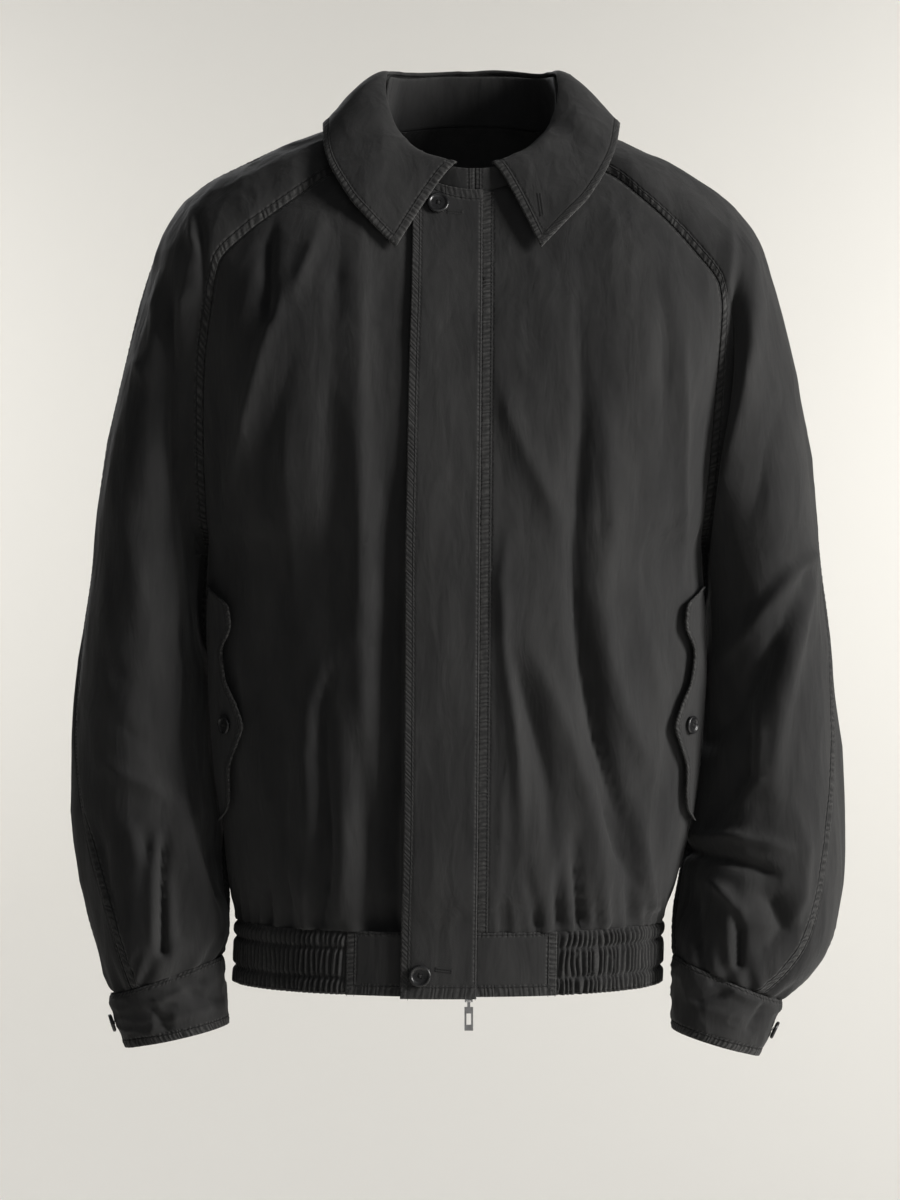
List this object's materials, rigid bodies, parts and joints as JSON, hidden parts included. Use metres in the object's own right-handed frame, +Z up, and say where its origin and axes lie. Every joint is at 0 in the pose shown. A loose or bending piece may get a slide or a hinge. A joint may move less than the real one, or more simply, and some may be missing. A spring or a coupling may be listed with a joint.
{
  "type": "harrington jacket, worn pose, hollow",
  "caption": "Black washed-cotton harrington jacket with raglan sleeves, buttoned collar, fly placket, flap pockets and elastic waistband, hollow as worn.",
  "frame": {"origin": "inside the neck opening, level with the top of the shoulders, where the wearer's shoulders and neck carry the jacket", "axes": "+Z up, -Y out of the jacket's front, +X to the wearer's left (the viewer's right)"},
  "size_m": [0.6338, 0.2792, 0.8088],
  "materials": {
    "cloth": "matte",
    "button": "satin",
    "metal": "brushed"
  },
  "bodies": {
    "jacket": {"back": "cloth", "front_right": "cloth", "front_left": "cloth", "sleeve_front_right": "cloth", "elbow_front_right": "cloth", "forearm_front_right": "cloth", "wrist_front_right": "cloth", "sleeve_back_right": "cloth", "elbow_back_right": "cloth", "forearm_back_right": "cloth", "wrist_back_right": "cloth", "sleeve_front_left": "cloth", "elbow_front_left": "cloth", "forearm_front_left": "cloth", "wrist_front_left": "cloth", "sleeve_back_left": "cloth", "elbow_back_left": "cloth", "forearm_back_left": "cloth", "wrist_back_left": "cloth", "collar_stand": "cloth", "collar_leaf": "cloth", "placket": "cloth", "waistband_back": "cloth", "waistband_front_right": "cloth", "waistband_front_left": "cloth", "elastic_right": "cloth", "elastic_left": "cloth", "cuff_right": "cloth", "cuff_left": "cloth", "zip_tape_right": "cloth", "zip_tape_left": "cloth", "pocket_welt_right": "cloth", "pocket_welt_left": "cloth", "pocket_flap_right": "cloth", "pocket_flap_left": "cloth", "top_button": "button", "hem_button": "button", "flap_button_right": "button", "flap_button_left": "button", "cuff_button_right": "button", "cuff_button_left": "button", "zip_slider": "metal"},
    "pull_tab": {"pull_tab": "metal"}
  },
  "joints": [
    {"name": "tab_swing", "type": "hinge", "parent": "jacket", "child": "pull_tab", "pos_m": [0.009, -0.118, -0.6985], "axis": [1, 0, 0], "range_deg": [-80, 20]}
  ]
}
